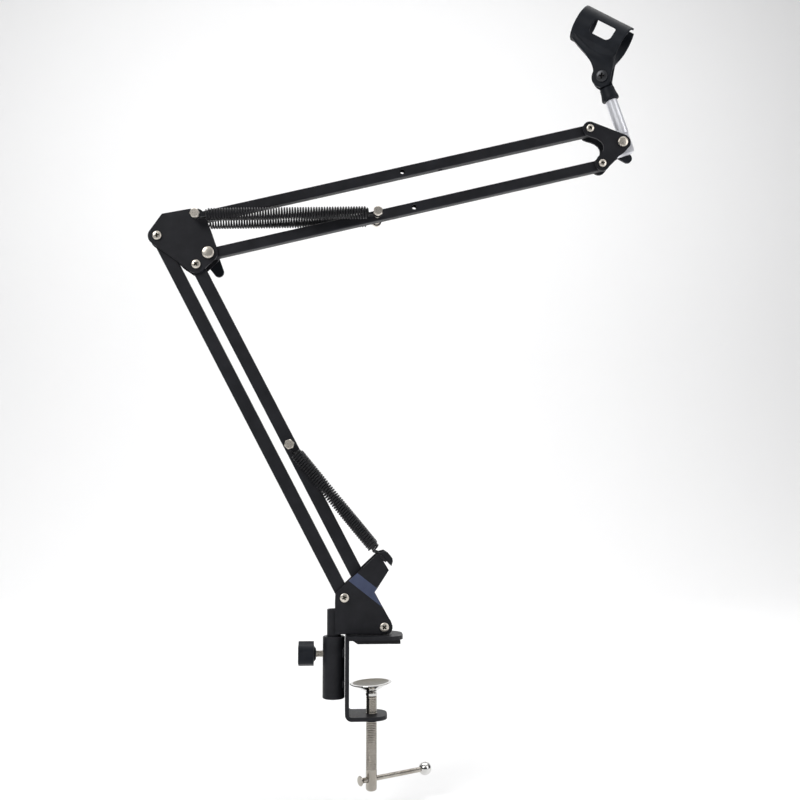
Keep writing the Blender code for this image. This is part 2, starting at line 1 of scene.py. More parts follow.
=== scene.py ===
"""Looks for the desk-clamp boom arm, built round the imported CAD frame.

Lengths in the tables are millimetres in the row frame; MM turns them into metres.
"""
import math

import bmesh
import bpy
from mathutils import Matrix, Vector


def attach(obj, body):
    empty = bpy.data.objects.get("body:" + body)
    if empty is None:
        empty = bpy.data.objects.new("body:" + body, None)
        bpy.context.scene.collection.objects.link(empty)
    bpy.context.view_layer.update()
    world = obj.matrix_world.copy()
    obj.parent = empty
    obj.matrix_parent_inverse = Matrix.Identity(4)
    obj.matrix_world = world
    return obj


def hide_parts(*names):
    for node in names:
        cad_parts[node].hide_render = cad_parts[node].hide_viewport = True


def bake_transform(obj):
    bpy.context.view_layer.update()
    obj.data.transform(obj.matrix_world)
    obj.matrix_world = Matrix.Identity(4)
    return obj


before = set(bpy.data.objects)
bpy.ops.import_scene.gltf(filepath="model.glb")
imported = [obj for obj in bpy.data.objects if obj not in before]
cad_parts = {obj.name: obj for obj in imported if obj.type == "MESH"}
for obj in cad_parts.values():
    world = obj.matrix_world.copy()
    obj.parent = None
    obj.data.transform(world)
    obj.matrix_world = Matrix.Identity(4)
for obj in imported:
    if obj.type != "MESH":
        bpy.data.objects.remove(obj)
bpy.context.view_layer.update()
MM = 0.001
TAU = 2 * math.pi

# ---------------------------------------------------------------- camera, floor and light
LENS, SENSOR_WIDTH, FAR_CLIP = 45.0, 36.0, 50.0
CAMERA_PLACE = (-0.0294, -0.9241, 0.1389)
CAMERA_TILT, CAMERA_TURN = 95.03, -3.42
camera_data = bpy.data.cameras.new("camera")
camera_data.lens, camera_data.sensor_width = LENS, SENSOR_WIDTH
camera_data.clip_end = FAR_CLIP
camera = bpy.data.objects.new("camera", camera_data)
camera.location = CAMERA_PLACE
camera.rotation_euler = (math.radians(CAMERA_TILT), 0.0, math.radians(CAMERA_TURN))
bpy.context.scene.collection.objects.link(camera)
bpy.context.scene.camera = camera


def link(obj):
    bpy.context.scene.collection.objects.link(obj)
    return obj


def node(tree, kind, **inputs):
    made = tree.nodes.new(kind)
    for key, value in inputs.items():
        made.inputs[key.replace("_", " ")].default_value = value
    return made


def ramp(tree, source, stops):
    made = tree.nodes.new("ShaderNodeValToRGB")
    tree.links.new(source, made.inputs[0])
    for index, (place, colour) in enumerate(stops):
        stop = made.color_ramp.elements[index] if index < 2 else made.color_ramp.elements.new(place)
        stop.position, stop.color = place, (*colour, 1.0)
    return made.outputs[0]


def edge_mask(tree, radius):
    """White along sharp edges: the angle between the true normal and a rounded one."""
    bevel = tree.nodes.new("ShaderNodeBevel")
    bevel.samples = 4
    bevel.inputs["Radius"].default_value = radius
    geometry = tree.nodes.new("ShaderNodeNewGeometry")
    dot = tree.nodes.new("ShaderNodeVectorMath")
    dot.operation = "DOT_PRODUCT"
    tree.links.new(bevel.outputs[0], dot.inputs[0])
    tree.links.new(geometry.outputs["Normal"], dot.inputs[1])
    remap = node(tree, "ShaderNodeMapRange")
    remap.inputs["From Min"].default_value = 0.985
    remap.inputs["From Max"].default_value = 0.85
    tree.links.new(dot.outputs["Value"], remap.inputs["Value"])
    return remap.outputs["Result"]


WORN_EDGE = 0.0006


def surface(name, dark, light, worn, rough, metallic=0.0, scale=60.0, grain=1800.0, bump=0.05,
            wear=0.35, specular=0.5, streak=(1, 1, 1)):
    """A procedural finish: mottled colour, uneven gloss, fine grain bump and paler worn edges."""
    made = bpy.data.materials.new(name)
    made.use_nodes = True
    tree = made.node_tree
    shader = tree.nodes["Principled BSDF"]
    place = tree.nodes.new("ShaderNodeTexCoord")
    mapping = tree.nodes.new("ShaderNodeMapping")
    mapping.inputs["Scale"].default_value = streak
    tree.links.new(place.outputs["Object"], mapping.inputs[0])
    mottle = node(tree, "ShaderNodeTexNoise", Scale=scale, Detail=6.0, Roughness=0.6)
    tree.links.new(mapping.outputs[0], mottle.inputs["Vector"])
    base = ramp(tree, mottle.outputs["Fac"], [(0.3, dark), (0.7, light)])
    scuff = node(tree, "ShaderNodeTexNoise", Scale=scale * 6, Detail=4.0)
    tree.links.new(place.outputs["Object"], scuff.inputs["Vector"])
    mask = tree.nodes.new("ShaderNodeMath")
    mask.operation = "MULTIPLY"
    tree.links.new(edge_mask(tree, WORN_EDGE), mask.inputs[0])
    tree.links.new(ramp(tree, scuff.outputs["Fac"], [(0.40, (0, 0, 0)), (0.62, (wear, wear, wear))]),
                   mask.inputs[1])
    mix = tree.nodes.new("ShaderNodeMix")
    mix.data_type = "RGBA"
    tree.links.new(mask.outputs[0], mix.inputs["Factor"])
    tree.links.new(base, mix.inputs["A"])
    mix.inputs["B"].default_value = (*worn, 1.0)
    tree.links.new(mix.outputs["Result"], shader.inputs["Base Color"])
    gloss = node(tree, "ShaderNodeMapRange")
    gloss.inputs["To Min"].default_value = rough[0]
    gloss.inputs["To Max"].default_value = rough[1]
    tree.links.new(scuff.outputs["Fac"], gloss.inputs["Value"])
    tree.links.new(gloss.outputs["Result"], shader.inputs["Roughness"])
    fine = node(tree, "ShaderNodeTexNoise", Scale=grain, Detail=3.0)
    tree.links.new(mapping.outputs[0], fine.inputs["Vector"])
    relief = node(tree, "ShaderNodeBump", Strength=bump, Distance=0.0003)
    tree.links.new(fine.outputs["Fac"], relief.inputs["Height"])
    tree.links.new(relief.outputs[0], shader.inputs["Normal"])
    shader.inputs["Metallic"].default_value = metallic
    shader.inputs["Specular IOR Level"].default_value = specular
    return made


PAINT = surface("powder_paint", (0.0105, 0.0108, 0.0132), (0.0180, 0.0184, 0.0220), (0.05, 0.05, 0.055),
                (0.38, 0.54), grain=1500.0, bump=0.12, specular=0.2)
# Painted sheen: a lighter, bluer paint for the sloping step of the front base plate, standing in for the
# light it catches.
PAINT_STEP_SHEEN = surface("painted_sheen_step", (0.040, 0.052, 0.105), (0.060, 0.078, 0.150), (0.1, 0.1, 0.14),
                       (0.30, 0.44), grain=1500.0, bump=0.1, specular=0.3)
PLASTIC = surface("moulded_plastic", (0.0075, 0.0090, 0.0125), (0.0135, 0.0160, 0.0210), (0.05, 0.05, 0.055),
                  (0.42, 0.58), grain=2400.0, bump=0.10, wear=0.25, specular=0.16)
RUBBER = surface("pad_rubber", (0.006, 0.006, 0.007), (0.011, 0.011, 0.012), (0.03, 0.03, 0.03),
                 (0.55, 0.75), grain=3000.0, bump=0.2, wear=0.2, specular=0.25)
SPRING = surface("spring_wire", (0.0060, 0.0060, 0.0078), (0.0110, 0.0110, 0.0135), (0.08, 0.08, 0.08),
                 (0.24, 0.40), 0.2, grain=2500.0, bump=0.03, wear=0.2, specular=0.4)
NICKEL = surface("nickel_plate", (0.66, 0.61, 0.53), (0.82, 0.77, 0.69), (0.90, 0.87, 0.82),
                 (0.22, 0.36), 0.78, scale=140.0, grain=2500.0, bump=0.05, wear=0.5)
STEEL = surface("screw_steel", (0.34, 0.31, 0.27), (0.52, 0.49, 0.44), (0.75, 0.72, 0.68),
                (0.16, 0.28), 1.0, scale=90.0, grain=1200.0, bump=0.05, wear=0.5, streak=(1, 1, 0.25))
CHROME = surface("polished_chrome", (0.60, 0.59, 0.57), (0.74, 0.73, 0.72), (0.6, 0.58, 0.55),
                 (0.07, 0.14), 1.0, scale=80.0, grain=900.0, bump=0.015, wear=0.3)
FOOT_FACE = surface("dish_lining", (0.13, 0.12, 0.09), (0.20, 0.18, 0.14), (0.4, 0.38, 0.32),
                    (0.30, 0.45), 0.8, scale=60.0, grain=900.0, bump=0.08, wear=0.3)
ALUMINIUM = surface("turned_aluminium", (0.78, 0.79, 0.84), (0.90, 0.91, 0.95), (0.95, 0.95, 0.95),
                    (0.24, 0.38), 0.45, scale=70.0, grain=1600.0, bump=0.04, wear=0.4, streak=(1, 1, 0.15))
BLACK_SCREW = surface("blackened_screw", (0.040, 0.042, 0.046), (0.070, 0.072, 0.078), (0.2, 0.2, 0.2),
                      (0.25, 0.4), 0.6, scale=120.0, grain=2000.0, bump=0.05, wear=0.5)
# Far darker finishes for the insides of the cross recesses: painted shade where the recess lies in shadow.
SCREW_RECESS_SHADE = surface("screw_recess_shade_painted", (0.030, 0.024, 0.014), (0.070, 0.060, 0.040), (0.3, 0.28, 0.24),
                 (0.35, 0.55), 0.6, scale=200.0, grain=2500.0, bump=0.1, wear=0.3, specular=0.2)
BLACK_SCREW_SHADE = surface("black_screw_recess", (0.004, 0.004, 0.005), (0.009, 0.009, 0.010),
                       (0.05, 0.05, 0.05), (0.45, 0.6), 0.0, scale=200.0, grain=2500.0, bump=0.1, wear=0.2,
                       specular=0.15)

# ---------------------------------------------------------------- shape helpers
FRONT = Matrix.Rotation(math.pi / 2, 4, "X")                       # local Z to -Y
SIDE = Matrix.Rotation(math.pi / 2, 4, "Z") @ FRONT                  # local Z to +X
REAR = Matrix.Rotation(-math.pi / 2, 4, "X")                       # local Z to +Y


def at(x, y, z):
    return Matrix.Translation(Vector((x, y, z)) * MM)


def polar(start, length, angle):
    return (start[0] + length * math.cos(math.radians(angle)),
            start[1] + length * math.sin(math.radians(angle)))


def arc(centre, radius, start, end, steps=16):
    return [polar(centre, radius, start + (end - start) * i / steps) for i in range(steps + 1)]


def mesh_object(name, mesh):
    return link(bpy.data.objects.new(name, mesh))


def tidy(mesh, angle=35):
    work = bmesh.new()
    work.from_mesh(mesh)
    bmesh.ops.remove_doubles(work, verts=work.verts, dist=1e-6)
    bmesh.ops.recalc_face_normals(work, faces=work.faces)
    work.to_mesh(mesh)
    work.free()
    mesh.polygons.foreach_set("use_smooth", [True] * len(mesh.polygons))
    mesh.set_sharp_from_angle(angle=math.radians(angle))
    return mesh


def lathe(profile, place, segments=64, ring=False):
    """(radius, height) points in millimetres turned about local Z."""
    verts, faces = [], []
    count = len(profile)
    for s in range(segments):
        c, d = math.cos(TAU * s / segments), math.sin(TAU * s / segments)
        verts += [(r * c * MM, r * d * MM, z * MM) for r, z in profile]
    for s in range(segments):
        here, there = s * count, (s + 1) % segments * count
        for i in range(count if ring else count - 1):
            j = (i + 1) % count
            faces.append((here + i, here + j, there + j, there + i))
    mesh = bpy.data.meshes.new("lathe")
    mesh.from_pydata(verts, [], faces)
    mesh.transform(place)
    work = bmesh.new()
    work.from_mesh(mesh)
    bmesh.ops.remove_doubles(work, verts=work.verts, dist=1e-7)
    bmesh.ops.dissolve_degenerate(work, edges=work.edges, dist=1e-7)
    work.to_mesh(mesh)
    work.free()
    return tidy(mesh)


def slab(loop, low, high, place):
    """A closed outline in local X and Y, given depth along local Z."""
    count = len(loop)
    verts = [(x * MM, y * MM, z * MM) for z in (low, high) for x, y in loop]
    faces = [tuple(range(count)), tuple(range(count, 2 * count))]
    faces += [(i, (i + 1) % count, count + (i + 1) % count, count + i) for i in range(count)]
    mesh = bpy.data.meshes.new("slab")
    mesh.from_pydata(verts, [], faces)
    mesh.transform(place)
    return tidy(mesh)


def block(low, high, place=Matrix.Identity(4)):
    return slab([(low[0], low[1]), (high[0], low[1]), (high[0], high[1]), (low[0], high[1])],
                low[2], high[2], place)


def baked(obj):
    """The object with its modifiers applied."""
    graph = bpy.context.evaluated_depsgraph_get()
    mesh = bpy.data.meshes.new_from_object(obj.evaluated_get(graph))
    obj.modifiers.clear()
    obj.data = mesh
    return obj


def combined(obj, mesh, operation):
    tool = mesh_object("tool", mesh)
    step = obj.modifiers.new("step", "BOOLEAN")
    step.operation, step.solver, step.object = operation, "EXACT", tool
    baked(obj)
    bpy.data.objects.remove(tool, do_unlink=True)
    return obj


def bevelled(obj, width, segments=2, angle=40):
    step = obj.modifiers.new("edge", "BEVEL")
    step.width, step.segments = width * MM, segments
    step.limit_method, step.angle_limit = "ANGLE", math.radians(angle)
    step.harden_normals = False
    return obj


def cast(obj, voxel, rounds, factor=0.5):
    """Merges the shape into one skin and rounds its edges, as moulding does."""
    step = obj.modifiers.new("skin", "REMESH")
    step.mode, step.voxel_size, step.use_smooth_shade = "VOXEL", voxel * MM, True
    soften = obj.modifiers.new("soften", "SMOOTH")
    soften.factor, soften.iterations = factor, rounds
    baked(obj)
    obj.data.polygons.foreach_set("use_smooth", [True] * len(obj.data.polygons))
    return obj


def done(obj, look, body, slot, *nodes):
    """Finish, body, slot (not used) and the CAD nodes that a piece stands for."""
    obj.data.materials.clear()
    obj.data.materials.append(look)
    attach(obj, body)
    if nodes:
        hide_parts(*nodes)
    return obj


def wire_mesh(name, points, radius):
    curve = bpy.data.curves.new(name, "CURVE")
    curve.dimensions, curve.bevel_depth, curve.bevel_resolution = "3D", radius * MM, 2
    curve.use_fill_caps, curve.twist_mode = True, "MINIMUM"
    spline = curve.splines.new("POLY")
    spline.points.add(len(points) - 1)
    for point, place in zip(spline.points, points):
        point.co = (*(Vector(place) * MM), 1.0)
    holder = link(bpy.data.objects.new(name, curve))
    graph = bpy.context.evaluated_depsgraph_get()
    mesh = bpy.data.meshes.new_from_object(holder.evaluated_get(graph))
    bpy.data.objects.remove(holder, do_unlink=True)
    return tidy(mesh, 60)


# ---------------------------------------------------------------- pivots, as in the CAD record
LOWER_LENGTH, LOWER_ANGLE = 373.1, 117.78
UPPER_LENGTH, UPPER_ANGLE = 381.7, 13.94
BASE_LEFT, BASE_RIGHT = (-24.9, 40.35), (11.2, 13.95)
ELBOW_LEFT = polar(BASE_LEFT, LOWER_LENGTH, LOWER_ANGLE)
ELBOW_RIGHT = polar(BASE_RIGHT, LOWER_LENGTH, LOWER_ANGLE)
ELBOW_CLAMP = (-151.87, 355.03)
ELBOW_HEX = polar(ELBOW_CLAMP, 35.8, 108.5)
HEAD_LOWER = polar(ELBOW_CLAMP, UPPER_LENGTH, UPPER_ANGLE)
HEAD_UPPER = polar(ELBOW_HEX, UPPER_LENGTH, UPPER_ANGLE)
LOWER_BOLT = polar(BASE_RIGHT, 185.6, LOWER_ANGLE)
UPPER_BOLT = polar(ELBOW_CLAMP, 160.9, UPPER_ANGLE)
HOOK_NOTCH = (12.0, 72.8)
ROD_PIVOT, ROD_ANGLE, ROD_OFFSET = (238.6, 468.3), 108.5, 5.95
CLIP_PIVOT = polar(polar(ROD_PIVOT, ROD_OFFSET, ROD_ANGLE - 90), 67.6, ROD_ANGLE)
POST_X, THUMB_Z, THUMB_HOLE = -34.3, -10.4, 3.2
TOMMY_Z, TOMMY_YAW, TOMMY_HOLE = -121.3, 31.3, 2.6


# ---------------------------------------------------------------- plates, tubes and the clamp frame
PLATE_EDGE, BAR_EDGE, FRAME_EDGE, PAD_EDGE = 0.35, 0.12, 0.4, 0.5


def shown(name, look, edge, segments=2):
    """A CAD node that stays, with a finish and softly broken edges."""
    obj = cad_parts[name]
    for slot in obj.material_slots:
        slot.material = look
    bevelled(obj, edge, segments)


for name in ("elbow_plate_front", "elbow_plate_rear", "head_plate_front", "head_plate_rear",
             "base_plate_rear"):
    shown(name, PAINT, PLATE_EDGE)
for name in ("lower_bar_left", "lower_bar_right", "upper_bar_lower", "upper_bar_upper"):
    shown(name, PAINT, BAR_EDGE, 1)
shown("clamp_frame", PAINT, FRAME_EDGE, 3)
shown("jaw_pad", RUBBER, PAD_EDGE)


# The front base plate again, so that its sloping step can take a painted sheen: a lighter, bluer paint
# standing in for the light that the step catches. The step is the only face that looks forward without
# looking straight ahead.
STEP_SHEEN_FACING = (-0.97, -0.6)
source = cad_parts["base_plate_front"]
folded = source.data.copy()
folded.transform(source.matrix_world)
folded.materials.clear()
front_plate = done(mesh_object("base_plate_front_shape", folded), PAINT, "base", "black_paint",
                   "base_plate_front")
folded.materials.append(PAINT_STEP_SHEEN)
# Faces turned the step's way take the painted sheen; all other faces keep the plain paint.
for face in folded.polygons:
    face.material_index = 1 if STEP_SHEEN_FACING[0] < face.normal.y < STEP_SHEEN_FACING[1] else 0
bevelled(front_plate, PLATE_EDGE)


def tube(name, body, outer, inner, low, high, lip, holes=()):
    """A round tube on the post's axis, with its rims chamfered by the lip."""
    profile = [(outer, high - lip), (outer - lip, high), (inner + lip, high), (inner, high - lip),
               (inner, low + lip), (inner + lip, low), (outer - lip, low), (outer, low + lip)]
    obj = mesh_object(name + "_shape", lathe(profile, at(POST_X, 0, 0), 72, ring=True))
    for mesh in holes:
        combined(obj, mesh, "DIFFERENCE")
    tidy(obj.data)
    done(obj, PAINT, body, "black_paint", name)


thumb_hole = lathe([(0, -4), (THUMB_HOLE, -4), (THUMB_HOLE, -14), (0, -14)],
                   at(POST_X, 0, THUMB_Z) @ SIDE, 32)
tube("post_tube", "base", outer=6.25, inner=4.75, low=-46.0, high=29.4, lip=0.35)
tube("pivot_sleeve", "clamp", outer=10.0, inner=6.55, low=-49.7, high=5.3, lip=0.6, holes=[thumb_hole])

WELD_X, WELD_Y, WELD_STEP, WELD_SIZE = -25.5, -7.5, 1.3, 1.15


def weld(name, low, high):
    """A run of overlapping puddles of uneven size in the groove beside the sleeve."""
    obj = None
    count = int((high - low) / WELD_STEP)
    for i in range(count):
        z = low + (high - low) * (i + 0.5) / count
        size = WELD_SIZE + 0.16 * math.sin(i * 2.3)
        profile = [(size * math.sin(math.pi * k / 10), size * math.cos(math.pi * k / 10)) for k in range(11)]
        mesh = lathe(profile, at(WELD_X + 0.12 * math.sin(i * 3.1), WELD_Y, z), 20)
        obj = combined(obj, mesh, "UNION") if obj else mesh_object(name + "_shape", mesh)
    cast(obj, 0.22, 3)
    done(obj, PAINT, "clamp", "black_paint", name)


weld("weld_bead_upper", -12.6, -5.4)
weld("weld_bead_lower", -39.6, -33.4)


# ---------------------------------------------------------------- screws, bolts and nuts
def cross_cut(depth, width, length, place):
    """Two tapered blades of a cross recess, at local Z 0 and going down."""
    made = []
    for turn in (0, 90):
        spin = Matrix.Rotation(math.radians(turn), 4, "Z")
        made.append(slab([(-length, 0.2), (length, 0.2), (length * 0.45, -depth), (-length * 0.45, -depth)],
                         -width / 2, width / 2, place @ spin @ FRONT))
    return made


SMALL_THREAD, SMALL_PITCH = 0.22, 0.7


def pan_screw(name, pose, body, radius, height, face, rear, shank, turn, look=NICKEL, slot="nickel",
              crown=0.45, cross=0.56):
    """A pan head with a cross recess, on a threaded shank; faces the front."""
    dome = [(radius * math.sin(a), face + height * (1 - crown) + height * crown * math.cos(a))
            for a in (math.pi / 2 * k / 10 for k in range(11))]
    profile = [*dome, (radius * 0.97, face), (shank, face)]
    thread = []
    z = face - 0.2
    while z > -rear + 0.5:
        thread += [(shank, z), (shank - SMALL_THREAD, z - SMALL_PITCH / 2)]
        z -= SMALL_PITCH
    profile += [*thread, (shank * 0.8, -rear), (0, -rear)]
    obj = mesh_object(name + "_shape", lathe(profile, pose @ FRONT, 40))
    top = pose @ FRONT @ at(0, 0, face + height) @ Matrix.Rotation(math.radians(turn), 4, "Z")
    for mesh in cross_cut(height * 0.8, radius * 0.34, radius * cross, top):
        combined(obj, mesh, "DIFFERENCE")
    tidy(obj.data)
    done(obj, look, body, slot, name)
    obj.data.materials.append(BLACK_SCREW_SHADE if look is BLACK_SCREW else SCREW_RECESS_SHADE)
    # Faces well inside the head and below its domed skin belong to the recess and take the painted shade,
    # far darker than the plating.
    into = top.inverted()
    skin = [(r * MM, (z - face - height) * MM) for r, z in dome]
    for side in obj.data.polygons:
        spot = into @ side.center
        reach = spot.xy.length
        above = [z for r, z in skin if r >= reach]
        ceiling = (above[0] if above else -height * MM) - 0.12 * MM
        inside = reach < radius * 0.62 * MM and -height * 0.95 * MM < spot.z < ceiling
        side.material_index = 1 if inside else 0


def hexagon(corner, turn=0.0):
    return arc((0, 0), corner, turn, turn + 360, 6)[:-1]


CHAMFER, CHAMFER_START = 0.9, 0.94                                 # depth, and the share of the flats kept


def hex_mesh(corner, low, high, place, turn, both=False, bore=0.0):
    """A hexagon with its corners chamfered at the top, and at the bottom too for a nut."""
    obj = mesh_object("hex", slab(hexagon(corner, turn), low, high, place))
    flat = corner * math.cos(math.pi / 6)
    ring, clear = flat * CHAMFER_START, corner * 1.02
    cone = [(0, high + 1), (ring, high + 0.0001), (clear, high - CHAMFER)]
    if both:
        cone += [(clear, low + CHAMFER), (ring, low - 0.0001), (0, low - 1)]
    else:
        cone += [(clear, low - 1), (0, low - 1)]
    combined(obj, lathe(cone, place, 48), "INTERSECT")
    if bore:
        combined(obj, lathe([(0, high + 1), (bore, high + 1), (bore, low - 1), (0, low - 1)], place, 32),
                 "DIFFERENCE")
    mesh = obj.data
    bpy.data.objects.remove(obj, do_unlink=True)
    return tidy(mesh, 25)


def joined(name, meshes):
    """Several closed shells in one piece."""
    work = bmesh.new()
    for mesh in meshes:
        work.from_mesh(mesh)
    out = bpy.data.meshes.new(name)
    work.to_mesh(out)
    work.free()
    return mesh_object(name, out)


THREAD_TIP, THREAD_TAPER, THREAD_DEPTH = 0.6, 0.36, 0.3


def threaded(shank, low, high, pitch, place):
    profile = [(0, high), (shank - THREAD_TAPER, high)]
    z = high - THREAD_TIP
    while z > low + THREAD_TIP:
        profile += [(shank, z), (shank - THREAD_DEPTH, z - pitch / 2)]
        z -= pitch
    return lathe(profile + [(shank - THREAD_TAPER, low), (0, low)], place, 40)


def rear_nut(name, pivot, corner, bore, near, far, body, turn):
    mesh = hex_mesh(corner, near, far, at(pivot[0], 0, pivot[1]) @ REAR, turn, both=True, bore=bore)
    done(mesh_object(name + "_shape", mesh), NICKEL, body, "nickel", name)


PLATE_FACE, HEAD_FACE = 8.9, 8.2                                   # the plates' outer faces, from Y 0
M4_RADIUS, M4_BORE, M4_CORNER = 2.0, 2.25, 7 / math.sqrt(3)
M5_RADIUS, M5_BORE, M5_CORNER, M5_PITCH = 2.5, 2.7, 8 / math.sqrt(3), 0.8
SCREWS = [("base", "left", BASE_LEFT, 25), ("base", "right", BASE_RIGHT, 50),
          ("elbow", "left", ELBOW_LEFT, 10), ("elbow", "right", ELBOW_RIGHT, 38),
          ("head", "lower", HEAD_LOWER, 5), ("head", "upper", HEAD_UPPER, 30)]
for group, side, pivot, turn in SCREWS:
    face, radius = (HEAD_FACE, 3.6) if group == "head" else (PLATE_FACE, 4.1)
    pan_screw("%s_screw_%s" % (group, side), at(pivot[0], 0, pivot[1]), group, radius, height=2.4, face=face,
              rear=face + 3.8, shank=M4_RADIUS, turn=turn)
    rear_nut("%s_nut_%s" % (group, side), pivot, M4_CORNER, M4_BORE, face, face + 3.2, group, turn)


def spring_bolt(place, pivot, reach, body, turn):
    """A hexagon bolt right through the arm; its thread shows between the two springs."""
    pose = at(pivot[0], 0, pivot[1])
    head = hex_mesh(M5_CORNER, reach - 3.4, reach, pose @ FRONT, turn)
    shaft = threaded(M5_RADIUS, -reach - 1.2, reach - 3.0, M5_PITCH, pose @ FRONT)
    done(joined(place + "_bolt_shape", [head, shaft]), NICKEL, body, "nickel", place + "_bolt")
    rear_nut(place + "_nut", pivot, M5_CORNER, M5_BORE, reach - 3.6, reach - 0.2, body, turn)


spring_bolt("lower_spring", LOWER_BOLT, 21.0, "lower_bar_right", 18)
spring_bolt("elbow_hex", ELBOW_HEX, 22.5, "elbow", 5)
spring_bolt("upper_spring", UPPER_BOLT, 22.5, "upper_bar_lower", 26)


def dome_bolt(name, pivot, body, radius, height, face, rear, shank):
    """A smooth domed head on a shank that is plain under the head and threaded behind."""
    dome = [(radius * math.sin(a), face + height * (0.62 + 0.38 * math.cos(a) ** 0.8))
            for a in (math.pi / 2 * k / 14 for k in range(14))]
    profile = [*dome, (radius, face + 0.2), (radius - 0.2, face), (shank, face), (shank, 4)]
    z = 3.5
    while z > -rear + 0.6:
        profile += [(shank, z), (shank - 0.3, z - 0.5)]
        z -= 1.0
    profile += [(shank * 0.8, -rear), (0, -rear)]
    obj = mesh_object(name + "_shape", lathe(profile, at(pivot[0], 0, pivot[1]) @ FRONT, 48))
    done(obj, NICKEL, body, "nickel", name)


def flat_washer(name, pivot, radius, bore, near, far):
    profile = [(radius, near + 0.2), (radius - 0.2, near), (bore, near), (bore, far), (radius - 0.2, far),
               (radius, far - 0.2)]
    obj = mesh_object(name + "_shape", lathe(profile, at(pivot[0], 0, pivot[1]) @ REAR, 48, ring=True))
    done(obj, NICKEL, name, "nickel", name)


HUB_RADIUS, HUB_TOP_RADIUS, HUB_HEIGHT, WAIST_LENGTH, WAIST_WIDTH = 5.5, 4.8, 9.5, 3.0, 6.8
LOBE_LAYERS = [(0.0, 2.7, 6.4), (0.9, 6.0, 7.5)]                   # inset, bottom and top of each layer


def wing_nut(name, pivot, direction, near, reach, tip, bore):
    """A moulded two-lobed knob: a hub with two broad rounded lobes, domed towards the rear."""
    pose = at(pivot[0], 0, pivot[1])
    hub = [(0, near), (HUB_RADIUS, near), (HUB_RADIUS, near + 3), (HUB_TOP_RADIUS, near + HUB_HEIGHT),
           (0, near + HUB_HEIGHT)]
    obj = mesh_object(name + "_shape", lathe(hub, pose @ REAR, 40))
    turned = pose @ Matrix.Rotation(math.radians(-direction), 4, "Y") @ REAR
    right, left = (reach - tip, 0), (tip - reach, 0)
    for inset, low, high in LOBE_LAYERS:
        waist = WAIST_WIDTH - inset
        lobes = [*arc(right, tip - inset, -80, 80, 20), (WAIST_LENGTH, waist), (-WAIST_LENGTH, waist),
                 *arc(left, tip - inset, 100, 260, 20), (-WAIST_LENGTH, -waist), (WAIST_LENGTH, -waist)]
        combined(obj, slab(lobes, near + low, near + high, turned), "UNION")
    cast(obj, 0.42, 6)
    combined(obj, lathe([(0, near + 12), (bore, near + 12), (bore, near - 2), (0, near - 2)],
                        pose @ REAR, 40), "DIFFERENCE")
    tidy(obj.data, 50)
    done(obj, PLASTIC, name, "black_plastic", name)


dome_bolt("elbow_clamp_bolt", ELBOW_CLAMP, "elbow", radius=5.5, height=3.6, face=PLATE_FACE, rear=24.0,
          shank=3.0)
flat_washer("elbow_washer", ELBOW_CLAMP, radius=7.0, bore=3.3, near=PLATE_FACE, far=10.4)
wing_nut("elbow_wing_nut", ELBOW_CLAMP, direction=-61.0, near=10.7, reach=19.8, tip=4.8, bore=3.3)
dome_bolt("head_clamp_bolt", ROD_PIVOT, "head", radius=4.75, height=2.8, face=HEAD_FACE, rear=23.0,
          shank=2.5)
flat_washer("head_washer", ROD_PIVOT, radius=6.2, bore=2.8, near=HEAD_FACE, far=9.4)
wing_nut("head_wing_nut", ROD_PIVOT, direction=-40.0, near=9.7, reach=18.2, tip=4.6, bore=2.8)


# ---------------------------------------------------------------- tension springs
SPRING_COIL, SPRING_PITCH, WIRE, END_LOOP = 5.2, 2.45, 0.80, 4.0
COIL_INSET, HOOK_INSET, COIL_STEPS = 8.5, 14.0, 14
LOOP_START, LOOP_TURN, LOOP_STEPS = 40, 270, 18
HOOK_RADIUS, HOOK_WIDTH, HOOK_SHANK, HOOK_TIP = 3.2, 3.4, 9.5, 7.0
FIRST_COIL = 0.55                                                  # share of the full coil's radius


def coil_points(start, end, y, first_coil, last_coil, hook_end):
    """A wound wire from a loop round the first bolt to a loop, or a hook loop, at the far end."""
    axis = Vector((end[0] - start[0], 0, end[1] - start[1]))
    length = axis.length
    axis.normalize()
    normal, across = Vector((-axis.z, 0, axis.x)), Vector((0, 1, 0))
    origin = Vector((start[0], y, start[1]))

    def place(t, n, a):
        return origin + axis * t + normal * n + across * a

    angles = [math.radians(LOOP_START + LOOP_TURN * i / LOOP_STEPS) for i in range(LOOP_STEPS + 1)]
    points = [place(END_LOOP * math.cos(a), END_LOOP * math.sin(a), 0.7 * math.cos(a / 2)) for a in angles]
    coil_end = length - last_coil
    count = int((coil_end - first_coil) / SPRING_PITCH) * COIL_STEPS
    for i in range(count + 1):
        share = i / count
        # Towards a hook the coils close up and then spread again over the last few turns.
        shift = 0.10 * (share ** 12 - share ** 6) if hook_end else 0.0
        phase = TAU * i / COIL_STEPS - math.pi / 2
        grow = min(1.0, FIRST_COIL + i / COIL_STEPS * (1 - FIRST_COIL),
                   FIRST_COIL + (count - i) / COIL_STEPS * (1 - FIRST_COIL))
        t = first_coil + (coil_end - first_coil) * (share + shift)
        points.append(place(t, SPRING_COIL * grow * math.sin(phase), SPRING_COIL * grow * math.cos(phase)))
    if hook_end:
        bend = length - HOOK_RADIUS
        points += [place(length - HOOK_SHANK, 0, HOOK_WIDTH), place(bend, 0, HOOK_WIDTH)]
        points += [place(bend + HOOK_RADIUS * math.sin(a), 0, HOOK_WIDTH * math.cos(a))
                   for a in (math.pi * i / 10 for i in range(1, 11))]
        points += [place(length - HOOK_TIP, 0, -HOOK_WIDTH)]
    else:
        angles = [a + math.pi for a in angles]
        points += [place(length + END_LOOP * math.cos(a), END_LOOP * math.sin(a), -0.6 * math.cos(a / 2))
                   for a in angles]
    return points


